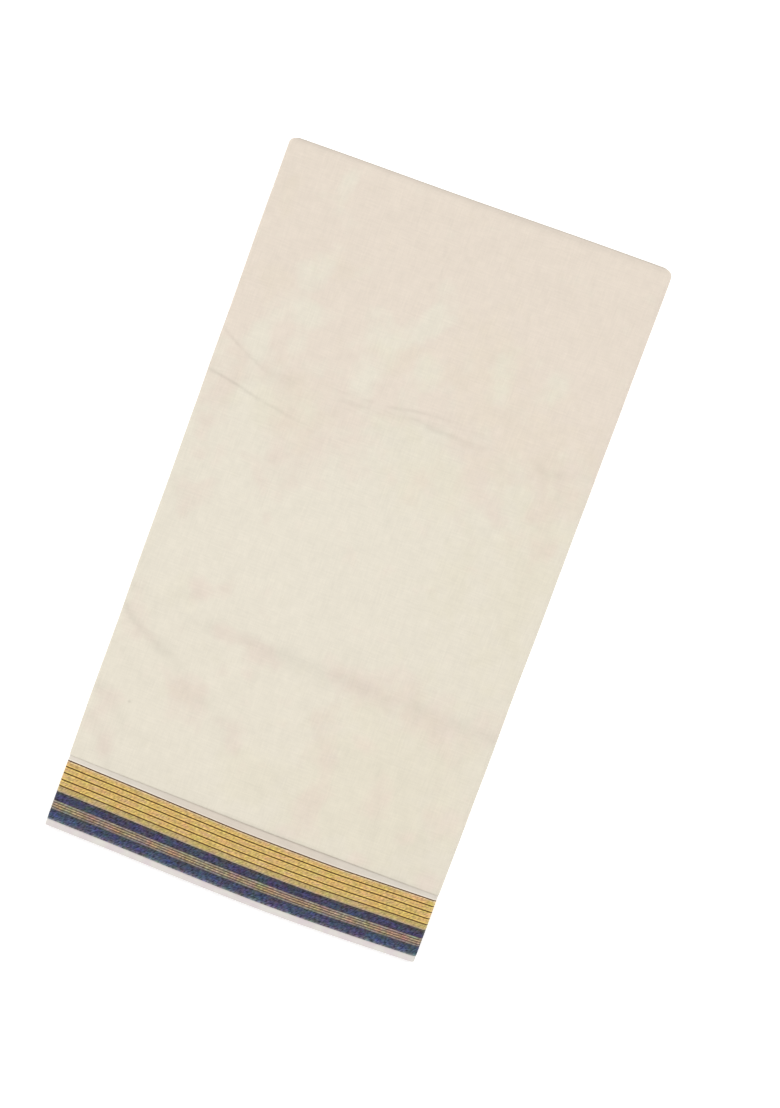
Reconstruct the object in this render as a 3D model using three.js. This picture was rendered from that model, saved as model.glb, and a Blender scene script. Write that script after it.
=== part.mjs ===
// Kerala saree (kasavu), folded flat: one long cotton cloth with a gold, navy and striped border, folded once
// across its width and then halved four times along its length, so that it lies as a long flat rectangle.
//
// Frame, in millimetres: +Z up, the underside on Z = 0, +Y towards the top fold, +X towards the spine, which is
// the last fold made. The origin is the middle of the footprint.
//
// The outermost ply is modelled as a wall that wraps over both sides of the stack. Below it the other plies are one
// solid, grooved at the edges: at the left, from the top, lie a bundle of eight passes, one of four, one of two and
// the two open ends of the cloth, and at the right everything is wrapped by the spine.

import * as THREE from "three";

// Driving dimensions.
const CLOTH_LENGTH = 5500;
const CLOTH_WIDTH = 1250;
const LENGTH_HALVINGS = 4;
const PASSES = 2 ** LENGTH_HALVINGS;
const WALL = 1.0;
const CLEARANCE = 0.35;
const SEAM_GAP = 0.3;

// Plan of the folded stack. The sides draw in a little towards the border, and the top fold tilts.
const WIDTH_SLACK = 1.1;
const HEIGHT_SLACK = 7.4;
const FOLDED_WIDTH = CLOTH_LENGTH / PASSES + WIDTH_SLACK;
const FOLDED_HEIGHT = CLOTH_WIDTH / 2 + HEIGHT_SLACK;
const HALF_WIDTH = FOLDED_WIDTH / 2;
const HALF_HEIGHT = FOLDED_HEIGHT / 2;
const LEFT_TAPER = 3.0;
const RIGHT_TAPER = 5.9;
const TOP_FOLD_TILT = 3.2;
const CORNER_RADIUS = 5;

// Lines across the cloth, as distances from the middle of the stack, at places from the left side to the right.
const PANEL_HEM = [
  { across: 0, y: -247.8 },
  { across: 0.5, y: -251.1 },
  { across: 1, y: -252.9 },
];
const GOLD_TOP = [
  { across: 0, y: -251.4 },
  { across: 0.31, y: -255.9 },
  { across: 0.5, y: -259.1 },
  { across: 0.73, y: -260.0 },
  { across: 1, y: -257.8 },
];
const SELVEDGE_END = [
  { across: 0, y: -310.0 },
  { across: 0.17, y: -312.1 },
  { across: 0.37, y: -315.0 },
  { across: 0.67, y: -HALF_HEIGHT },
  { across: 0.84, y: -315.0 },
  { across: 1, y: -312.9 },
];

// Where each woven band ends, as a share of the way from the gold's first line to the selvedge's end.
const BAND_ENDS = { gold: 0.48, navyInner: 0.613, fineStripes: 0.748, navyOuter: 0.907, selvedge: 1 };

// Thickness of the whole stack along it. The turned-under borders thicken it above the hem, and below the hem only
// one ply of each pass is left.
const STACK_HEIGHT = [
  { y: 316, height: 14.0 },
  { y: 250, height: 14.4 },
  { y: -175, height: 14.4 },
  { y: -215, height: 16.0 },
  { y: -252, height: 15.8 },
  { y: -268, height: 12.6 },
  { y: -290, height: 9.2 },
  { y: -316, height: 8.0 },
];

// The top bundle at the left side holds half the passes: its middle and half its height, as shares of the stack.
const TOP_BUNDLE_MIDDLE = 0.75;
const TOP_BUNDLE_HALF = 0.25;

// The rounded sides, measured across: the top bundle's fold at the left, and the spine at the right.
const LEFT_FOLD_REACH = 3.4;
const SPINE_REACH = 5.2;
const TOP_LIP_RADIUS = 1.6;

// How deep the border ply lies under the panel, and how far it runs under it.
const TONGUE = 14;
const PLY_STEP = WALL + CLEARANCE;

// The largest soft troughs pressed into the body panel, each a straight run between two places.
const TROUGHS = [
  { x0: -168, y0: -98, x1: -60, y1: -101, halfWidth: 9, depth: 0.5 },
  { x0: -60, y0: -103, x1: 168, y1: -107, halfWidth: 9, depth: 0.8 },
  { x0: -168, y0: -114, x1: -112, y1: -146, halfWidth: 8, depth: 0.6 },
  { x0: -56, y0: 118, x1: 168, y1: 126, halfWidth: 8, depth: 0.4 },
];
const TROUGH_FADE = 14;

const lerp = THREE.MathUtils.lerp;
const smoothstep = THREE.MathUtils.smoothstep;

// A value read off a table whose rows are sorted by one column, on a straight run between two rows.
function readTable(rows, keyColumn, valueColumn, key) {
  const rising = rows[0][keyColumn] < rows[rows.length - 1][keyColumn];
  const sorted = rising ? rows : [...rows].reverse();
  if (key <= sorted[0][keyColumn]) return sorted[0][valueColumn];
  const next = sorted.findIndex((row) => row[keyColumn] >= key);
  if (next < 0) return sorted[sorted.length - 1][valueColumn];
  const before = sorted[next - 1];
  const after = sorted[next];
  const share = (key - before[keyColumn]) / (after[keyColumn] - before[keyColumn]);
  return lerp(before[valueColumn], after[valueColumn], share);
}

// ---- The plan ----

// A line across the cloth is a function from the place across (0 left, 1 right) to Y.
const topFold = (across) => HALF_HEIGHT - TOP_FOLD_TILT * (1 - across);
const hem = (across) => readTable(PANEL_HEM, "across", "y", across);
const goldTop = (across) => readTable(GOLD_TOP, "across", "y", across);
const selvedgeEnd = (across) => readTable(SELVEDGE_END, "across", "y", across);
const between = (from, to, share) => (across) => lerp(from(across), to(across), share);
const shifted = (line, distance) => (across) => line(across) + distance;
const bandLine = (share) => between(goldTop, selvedgeEnd, share);

// How far the round top corners pull a side in.
function cornerInset(y, across) {
  const fromTop = Math.max(topFold(across) - y, 0);
  if (fromTop >= CORNER_RADIUS) return 0;
  const drop = CORNER_RADIUS - fromTop;
  return CORNER_RADIUS - Math.sqrt(CORNER_RADIUS ** 2 - drop ** 2);
}

function leftSide(y) {
  return -HALF_WIDTH + (LEFT_TAPER * (topFold(0) - y)) / FOLDED_HEIGHT + cornerInset(y, 0);
}

function rightSide(y) {
  return HALF_WIDTH - (RIGHT_TAPER * (topFold(1) - y)) / FOLDED_HEIGHT - cornerInset(y, 1);
}

// ---- The height ----

const stackHeight = (y) => readTable(STACK_HEIGHT, "y", "height", y);

// The drop of the panel at one place, from the troughs that pass there. It fades out at the rounded sides.
function troughDrop(x, y) {
  const fromLeft = x - leftSide(y) - LEFT_FOLD_REACH;
  const fromRight = rightSide(y) - SPINE_REACH - x;
  const fade = smoothstep(Math.min(fromLeft, fromRight), 0, TROUGH_FADE);
  let drop = 0;
  for (const trough of TROUGHS) {
    const alongX = trough.x1 - trough.x0;
    const alongY = trough.y1 - trough.y0;
    const length = Math.hypot(alongX, alongY);
    const along = ((x - trough.x0) * alongX + (y - trough.y0) * alongY) / length;
    const aside = ((x - trough.x0) * alongY - (y - trough.y0) * alongX) / length;
    const beyond = Math.max(-along, along - length, 0);
    const distance = Math.hypot(aside, beyond) / trough.halfWidth;
    drop += trough.depth * (1 - smoothstep(distance, 0, 1));
  }
  return drop * fade;
}

// ---- The outermost ply ----

// Columns of the wall: round the left bundle's fold, over the top and round the spine.
const LEFT_FOLD_END = -75;
const SPINE_END = -62;
const TOP_COLUMNS = 8;

function wallColumns() {
  const columns = [];
  const leftSteps = 6;
  const rightSteps = 7;
  for (let step = 0; step < leftSteps; step += 1) {
    columns.push({ part: "left", angle: lerp(LEFT_FOLD_END, 90, step / leftSteps), across: 0 });
  }
  for (let step = 0; step <= TOP_COLUMNS; step += 1) {
    columns.push({ part: "top", angle: 90, across: step / TOP_COLUMNS });
  }
  for (let step = 1; step <= rightSteps; step += 1) {
    columns.push({ part: "right", angle: lerp(90, SPINE_END, step / rightSteps), across: 1 });
  }
  return columns;
}

// A point of the wall: on a column, at a Y, so deep under the outermost surface.
function wallPoint(column, y, depth) {
  const height = stackHeight(y);
  const turn = THREE.MathUtils.degToRad(column.angle);
  if (column.part === "left") {
    const x = leftSide(y) + LEFT_FOLD_REACH - (LEFT_FOLD_REACH - depth) * Math.cos(turn);
    const z = TOP_BUNDLE_MIDDLE * height + (TOP_BUNDLE_HALF * height - depth) * Math.sin(turn);
    return new THREE.Vector3(x, y, z);
  }
  if (column.part === "right") {
    const x = rightSide(y) - SPINE_REACH + (SPINE_REACH - depth) * Math.cos(turn);
    return new THREE.Vector3(x, y, 0.5 * height + (0.5 * height - depth) * Math.sin(turn));
  }
  const x = lerp(leftSide(y) + LEFT_FOLD_REACH, rightSide(y) - SPINE_REACH, column.across);
  return new THREE.Vector3(x, y, height - depth - troughDrop(x, y));
}

// A closed mesh from quads given as four corner indices.
function meshFromQuads(points, quads) {
  const geometry = new THREE.BufferGeometry();
  geometry.setAttribute("position", new THREE.Float32BufferAttribute(points.flatMap((p) => p.toArray()), 3));
  geometry.setIndex(quads.flatMap(([a, b, c, d]) => [a, b, c, a, c, d]));
  geometry.computeVertexNormals();
  return geometry;
}

// A wall of cloth over rows of the stack. A row has a line, a depth for the outer face and the inner face's own
// shift along Y and depth, which differ only where the cloth turns over the top fold.
function clothWall(rows) {
  const columns = wallColumns();
  const points = [];
  for (const row of rows) {
    for (const column of columns) {
      points.push(wallPoint(column, row.line(column.across), row.depth));
    }
  }
  const innerStart = points.length;
  for (const row of rows) {
    for (const column of columns) {
      const y = row.line(column.across) + (row.innerShift ?? 0);
      points.push(wallPoint(column, y, row.innerDepth ?? row.depth + WALL));
    }
  }
  const outer = (r, c) => r * columns.length + c;
  const inner = (r, c) => innerStart + outer(r, c);
  const lastRow = rows.length - 1;
  const lastColumn = columns.length - 1;
  const quads = [];
  for (let r = 0; r < lastRow; r += 1) {
    for (let c = 0; c < lastColumn; c += 1) {
      quads.push([outer(r, c), outer(r + 1, c), outer(r + 1, c + 1), outer(r, c + 1)]);
      quads.push([inner(r, c), inner(r, c + 1), inner(r + 1, c + 1), inner(r + 1, c)]);
    }
    quads.push([outer(r, 0), inner(r, 0), inner(r + 1, 0), outer(r + 1, 0)]);
    quads.push([outer(r, lastColumn), outer(r + 1, lastColumn), inner(r + 1, lastColumn), inner(r, lastColumn)]);
  }
  for (let c = 0; c < lastColumn; c += 1) {
    quads.push([outer(0, c), outer(0, c + 1), inner(0, c + 1), inner(0, c)]);
    quads.push([outer(lastRow, c), inner(lastRow, c), inner(lastRow, c + 1), outer(lastRow, c + 1)]);
  }
  return meshFromQuads(points, quads);
}

// Rows that turn the wall's edge over the top fold.
function topLipRows() {
  const innerRadius = TOP_LIP_RADIUS - WALL;
  return [90, 60, 30, 0].map((degrees) => {
    const turn = THREE.MathUtils.degToRad(degrees);
    const outerBack = TOP_LIP_RADIUS * (1 - Math.sin(turn));
    const innerBack = TOP_LIP_RADIUS - innerRadius * Math.sin(turn);
    return {
      line: shifted(topFold, -outerBack),
      depth: TOP_LIP_RADIUS * (1 - Math.cos(turn)),
      innerShift: outerBack - innerBack,
      innerDepth: WALL + innerRadius * (1 - Math.cos(turn)),
    };
  });
}

// Distances below the top fold of the panel's rows, closest where the troughs pass.
const PANEL_ROWS = [5, 60, 130, 178, 190, 202, 216, 300, 395, 410, 422, 436, 450, 468, 500, 530];

function bodyPanel() {
  const rows = topLipRows();
  for (const distance of PANEL_ROWS) {
    rows.push({ line: shifted(topFold, -distance), depth: 0 });
  }
  rows.push({ line: hem, depth: 0 });
  return clothWall(rows);
}

// The border ply leaves the panel one ply down and comes up to the outline within the gold.
const BORDER_LINES = [
  { line: shifted(hem, TONGUE), depth: PLY_STEP },
  { line: hem, depth: PLY_STEP },
  { line: goldTop, depth: 0.8 },
  { line: bandLine(0.12), depth: 0.4 },
  { line: bandLine(0.24), depth: 0 },
  { line: bandLine(0.36), depth: 0 },
  { line: bandLine(BAND_ENDS.gold), depth: 0 },
  { line: bandLine(BAND_ENDS.navyInner), depth: 0 },
  { line: bandLine(BAND_ENDS.fineStripes), depth: 0 },
  { line: bandLine(BAND_ENDS.navyOuter), depth: 0 },
  { line: bandLine(BAND_ENDS.selvedge), depth: 0 },
];

// One woven band: the border lines from first to last, drawn back by half a seam gap at each inner end.
function wovenBand(first, last) {
  const rows = BORDER_LINES.slice(first, last + 1).map((row) => ({ ...row }));
  const end = rows.length - 1;
  if (first > 0) rows[0].line = shifted(rows[0].line, -SEAM_GAP / 2);
  if (last < BORDER_LINES.length - 1) rows[end].line = shifted(rows[end].line, SEAM_GAP / 2);
  return clothWall(rows);
}

// ---- The hidden layers ----

// The bundles that show at the left side, from the underside up, in passes.
const LEFT_BUNDLES = [1, 1, 2, 4];
const BUNDLE_REACH = 0.55;
const BUNDLE_OFFSETS = [1.4, 0.5, 0.9, 0.3];
const SLOT_DEPTH = 6;
const PLY_GROOVE = 0.6;
const LEVELS_PER_PASS = 2;

// How far the left side of the solid is drawn in at a height.
function leftInset(z, height, depth) {
  const offset = (z - TOP_BUNDLE_MIDDLE * height) / (TOP_BUNDLE_HALF * height - depth);
  if (Math.abs(offset) <= 1.001) {
    const bulge = Math.sqrt(Math.max(1 - offset ** 2, 0));
    return LEFT_FOLD_REACH - (LEFT_FOLD_REACH - depth) * bulge;
  }
  if (offset > 0) return LEFT_FOLD_REACH;
  const passHeight = height / PASSES;
  let floor = 0;
  for (const [index, passes] of LEFT_BUNDLES.entries()) {
    const middle = floor + (passes * passHeight) / 2;
    const share = (z - middle) / ((passes * passHeight) / 2);
    if (Math.abs(share) <= 1) {
      const reach = BUNDLE_REACH * passes;
      return BUNDLE_OFFSETS[index] + reach * (1 - Math.sqrt(1 - share ** 2));
    }
    floor += passes * passHeight;
  }
  return SLOT_DEPTH;
}

// How far the spine side is drawn in at a height, inside the wall that wraps it.
function spineInset(z, height, depth) {
  const offset = (z - height / 2) / (height / 2 - depth);
  const bulge = Math.sqrt(Math.max(1 - offset ** 2, 0));
  return SPINE_REACH - (SPINE_REACH - depth) * bulge;
}

// Every pass ends a little short of the one that reaches furthest, each by its own amount.
const SHORTFALL_TURN = 2.4;
const TOP_SHORTFALL = 1.0;
const SELVEDGE_SHORTFALL = 1.6;
const passShortfall = (pass, most) => (most / 2) * (1 + Math.sin(pass * SHORTFALL_TURN));

// How far the top fold's plies, or the selvedges at the other end, are drawn in at a level.
function endInset(level, depthBelow, most) {
  const pass = Math.floor(level / LEVELS_PER_PASS);
  const groove = level % LEVELS_PER_PASS === 0 ? PLY_GROOVE : 0;
  const underLip = depthBelow < TOP_LIP_RADIUS + CLEARANCE ? TOP_LIP_RADIUS : 0;
  return Math.max(groove + passShortfall(pass, most), underLip);
}

// The solid's rows: those of the panel, then those of the border, each with how deep its top lies.
function coreRows() {
  const rows = [{ line: topFold, depth: PLY_STEP, sideDepth: TOP_LIP_RADIUS + 3 * CLEARANCE }];
  for (const distance of PANEL_ROWS) {
    rows.push({ line: shifted(topFold, -distance), depth: PLY_STEP });
  }
  rows.push({ line: shifted(hem, TONGUE + 1), depth: 2 * PLY_STEP });
  for (const border of BORDER_LINES.slice(1)) {
    rows.push({ line: border.line, depth: border.depth + PLY_STEP });
  }
  return rows;
}

function corePoint(rows, row, column, level) {
  const levels = PASSES * LEVELS_PER_PASS;
  const across = column / TOP_COLUMNS;
  const { line, depth } = rows[row];
  const sideDepth = rows[row].sideDepth ?? depth;
  const nominal = line(across);
  const depthBelow = (stackHeight(nominal) - depth) * (1 - level / levels) + depth;
  let y = nominal;
  if (row === 0) y -= endInset(level, depthBelow, TOP_SHORTFALL);
  if (row === rows.length - 1) y += endInset(level, depthBelow, SELVEDGE_SHORTFALL);
  const height = stackHeight(y);
  const z = ((height - depth) * level) / levels;
  const left = leftSide(y) + leftInset(z, height, sideDepth);
  const right = rightSide(y) - spineInset(z, height, sideDepth);
  const x = lerp(left, right, across);
  return new THREE.Vector3(x, y, level === levels ? z - troughDrop(x, y) : z);
}

function hiddenLayers() {
  const rows = coreRows();
  const levels = PASSES * LEVELS_PER_PASS;
  const lastRow = rows.length - 1;
  const points = [];
  const indexOf = new Map();
  const at = (row, column, level) => {
    const key = `${row}/${column}/${level}`;
    if (!indexOf.has(key)) {
      indexOf.set(key, points.length);
      points.push(corePoint(rows, row, column, level));
    }
    return indexOf.get(key);
  };
  const quads = [];
  for (let r = 0; r < lastRow; r += 1) {
    for (let c = 0; c < TOP_COLUMNS; c += 1) {
      quads.push([at(r, c, levels), at(r + 1, c, levels), at(r + 1, c + 1, levels), at(r, c + 1, levels)]);
      quads.push([at(r, c, 0), at(r, c + 1, 0), at(r + 1, c + 1, 0), at(r + 1, c, 0)]);
    }
  }
  for (let k = 0; k < levels; k += 1) {
    for (let r = 0; r < lastRow; r += 1) {
      quads.push([at(r, 0, k), at(r + 1, 0, k), at(r + 1, 0, k + 1), at(r, 0, k + 1)]);
      const c = TOP_COLUMNS;
      quads.push([at(r, c, k), at(r, c, k + 1), at(r + 1, c, k + 1), at(r + 1, c, k)]);
    }
    for (let c = 0; c < TOP_COLUMNS; c += 1) {
      quads.push([at(0, c, k), at(0, c, k + 1), at(0, c + 1, k + 1), at(0, c + 1, k)]);
      quads.push([at(lastRow, c, k), at(lastRow, c + 1, k), at(lastRow, c + 1, k + 1), at(lastRow, c, k + 1)]);
    }
  }
  return meshFromQuads(points, quads);
}

// ---- Materials and assembly ----

const cloth = (color, roughness, metalness = 0) => new THREE.MeshStandardMaterial({ color, roughness, metalness });

function piece(name, geometry, material) {
  const mesh = new THREE.Mesh(geometry, material);
  mesh.name = name;
  return mesh;
}

const saree = new THREE.Group();
saree.add(
  piece("hidden_layers", hiddenLayers(), cloth("#e3dac6", 0.95)),
  piece("body_panel", bodyPanel(), cloth("#e7ddca", 0.9)),
  piece("border_ground", wovenBand(0, 2), cloth("#e0d6cc", 0.9)),
  piece("kasavu_band", wovenBand(2, 6), cloth("#caa966", 0.45, 0.4)),
  piece("navy_band_inner", wovenBand(6, 7), cloth("#464a66", 0.8)),
  piece("fine_stripe_band", wovenBand(7, 8), cloth("#94836a", 0.7)),
  piece("navy_band_outer", wovenBand(8, 9), cloth("#464c68", 0.8)),
  piece("selvedge", wovenBand(9, 10), cloth("#e0dbd4", 0.9)),
);

export default saree;
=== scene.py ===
"""A Kerala saree (kasavu), folded flat, seen from straight above.

The cloth is built as it is folded: one long ribbon of two plies, joined by the fold across the width at
the top. The ribbon is halved four times, so it runs through sixteen passes that lie on each other. At the
right side the spine wraps them all. At the left side there is a bundle of eight passes, one of four, one of
two, and the two open ends. In places, out of sight, neighbouring plies cut a little into each other.
Lengths are millimetres here and metres in Blender: see MM.
"""
import math

import bpy
import numpy as np
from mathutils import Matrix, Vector


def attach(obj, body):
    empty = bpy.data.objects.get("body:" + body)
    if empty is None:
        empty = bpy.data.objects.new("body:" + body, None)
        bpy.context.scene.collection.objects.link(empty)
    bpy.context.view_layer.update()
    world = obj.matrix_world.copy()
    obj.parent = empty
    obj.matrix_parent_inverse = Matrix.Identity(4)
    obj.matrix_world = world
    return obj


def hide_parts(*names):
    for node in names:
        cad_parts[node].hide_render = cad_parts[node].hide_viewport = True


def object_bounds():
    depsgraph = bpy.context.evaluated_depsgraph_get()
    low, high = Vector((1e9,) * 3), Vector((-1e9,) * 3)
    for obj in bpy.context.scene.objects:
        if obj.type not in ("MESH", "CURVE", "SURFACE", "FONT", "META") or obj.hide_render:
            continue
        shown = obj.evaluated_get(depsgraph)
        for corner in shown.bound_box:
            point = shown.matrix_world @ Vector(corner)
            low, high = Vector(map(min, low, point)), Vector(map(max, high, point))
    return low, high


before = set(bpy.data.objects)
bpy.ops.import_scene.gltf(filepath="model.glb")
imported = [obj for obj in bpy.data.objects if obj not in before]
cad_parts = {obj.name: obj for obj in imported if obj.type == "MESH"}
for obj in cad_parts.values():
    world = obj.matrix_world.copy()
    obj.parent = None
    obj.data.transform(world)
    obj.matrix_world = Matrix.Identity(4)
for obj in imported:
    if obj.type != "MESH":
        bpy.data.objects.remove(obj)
cad_low, cad_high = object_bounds()

MM = 0.001

# ---- The camera ----

FOCAL_LENGTH = 85.0
SENSOR = 36.0
VIEW_LENGTH = 941.1
CAMERA_TURN = math.radians(20.1)
CAMERA_ASIDE = Vector((28.5, 7.8))


def make_camera():
    """A camera straight above, turned so that the saree leans to the right."""
    data = bpy.data.cameras.new("camera")
    data.lens = FOCAL_LENGTH
    data.sensor_width = SENSOR
    data.dof.use_dof = False
    camera = bpy.data.objects.new("camera", data)
    top = cad_high.z / MM
    height = top + VIEW_LENGTH * FOCAL_LENGTH / SENSOR
    camera.location = Vector((CAMERA_ASIDE.x, CAMERA_ASIDE.y, height)) * MM
    camera.rotation_euler = (0.0, 0.0, CAMERA_TURN)
    bpy.context.scene.collection.objects.link(camera)
    bpy.context.scene.camera = camera


make_camera()

# ---- Sizes of the folded stack, in millimetres ----

PASSES = 16
HALF_WIDTH = (cad_high.x - cad_low.x) / 2 / MM
HALF_HEIGHT = (cad_high.y - cad_low.y) / 2 / MM
LEFT_TAPER = 4.2
RIGHT_TAPER = 5.9
TOP_FOLD_TILT = 3.2
CORNER_RADIUS = 5.3
CLOTH_THICKNESS = 0.3
SIDE_SPARE = 0.4

# Lines across the cloth: the place from the left side (0) to the right (1), and Y.
PANEL_HEM = [(0, -246.0), (0.3, -248.1), (0.5, -249.7), (0.75, -250.4), (1, -251.0)]
GOLD_TOP = [
    (0, -250.8), (0.16, -252.9), (0.31, -255.1), (0.5, -257.5), (0.62, -258.1), (0.75, -258.3),
    (0.88, -257.1), (1, -256.1),
]
SELVEDGE_END = [
    (0, -309.6), (0.17, -311.2), (0.37, -313.5), (0.5, -314.7), (0.67, -315.3), (0.84, -314.3), (1, -312.6),
]

# Thickness of the stack along it: Y and height. Away from the ends and the border it is FULL_HEIGHT.
FULL_HEIGHT = 14.4
STACK_HEIGHT = [
    (-316, 8), (-300, 8.4), (-284, 9.8), (-268, 12.4), (-260, 13.7), (-254, 14.8), (-250, 15.3),
    (-240, 15.6), (-215, 15.5), (-175, 14.4), (250, 14.4), (309, 14.3), (314, 13.9), (316.2, 13.3),
]

# How far the border's bands end from the gold's first dark line, in a border of BORDER_WIDTH.
BORDER_WIDTH = 56.3
BAND_ENDS = dict(gold=27.0, navy_inner=34.6, fine_stripes=42.2, navy_outer=51.0, selvedge=BORDER_WIDTH)


def smooth_curve(points):
    """A function through the points, with no corners."""
    xs, ys = np.array(points, float).T
    slopes = np.gradient(ys, xs)

    def curve(x):
        x = np.clip(x, xs[0], xs[-1])
        i = np.clip(np.searchsorted(xs, x) - 1, 0, len(xs) - 2)
        step = xs[i + 1] - xs[i]
        t = (x - xs[i]) / step
        start = (1 + 2 * t) * (1 - t) ** 2 * ys[i] + t * (1 - t) ** 2 * step * slopes[i]
        end = t**2 * (3 - 2 * t) * ys[i + 1] + t**2 * (t - 1) * step * slopes[i + 1]
        return start + end

    return curve


def smooth_step(x, low, high):
    t = np.clip((x - low) / (high - low), 0, 1)
    return t * t * (3 - 2 * t)


hem_line = smooth_curve(PANEL_HEM)
gold_line = smooth_curve(GOLD_TOP)
selvedge_line = smooth_curve(SELVEDGE_END)
stack_height = smooth_curve(STACK_HEIGHT)


def top_line(across):
    return HALF_HEIGHT - TOP_FOLD_TILT * (1 - across)


def border_line(distance):
    """The line across the border at a woven distance from the gold's first dark line."""
    share = distance / BORDER_WIDTH
    return lambda across: gold_line(across) * (1 - share) + selvedge_line(across) * share


def corner_inset(y, across):
    """How far the round top corners pull a side in."""
    drop = CORNER_RADIUS - np.clip(top_line(across) - y, 0, CORNER_RADIUS)
    return CORNER_RADIUS - np.sqrt(CORNER_RADIUS**2 - drop**2)


def left_side(y):
    return -HALF_WIDTH - SIDE_SPARE + LEFT_TAPER * (top_line(0) - y) / (2 * HALF_HEIGHT) + corner_inset(y, 0)


def right_side(y):
    return HALF_WIDTH + SIDE_SPARE - RIGHT_TAPER * (top_line(1) - y) / (2 * HALF_HEIGHT) - corner_inset(y, 1)


# ---- Creases of the top ply ----

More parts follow.
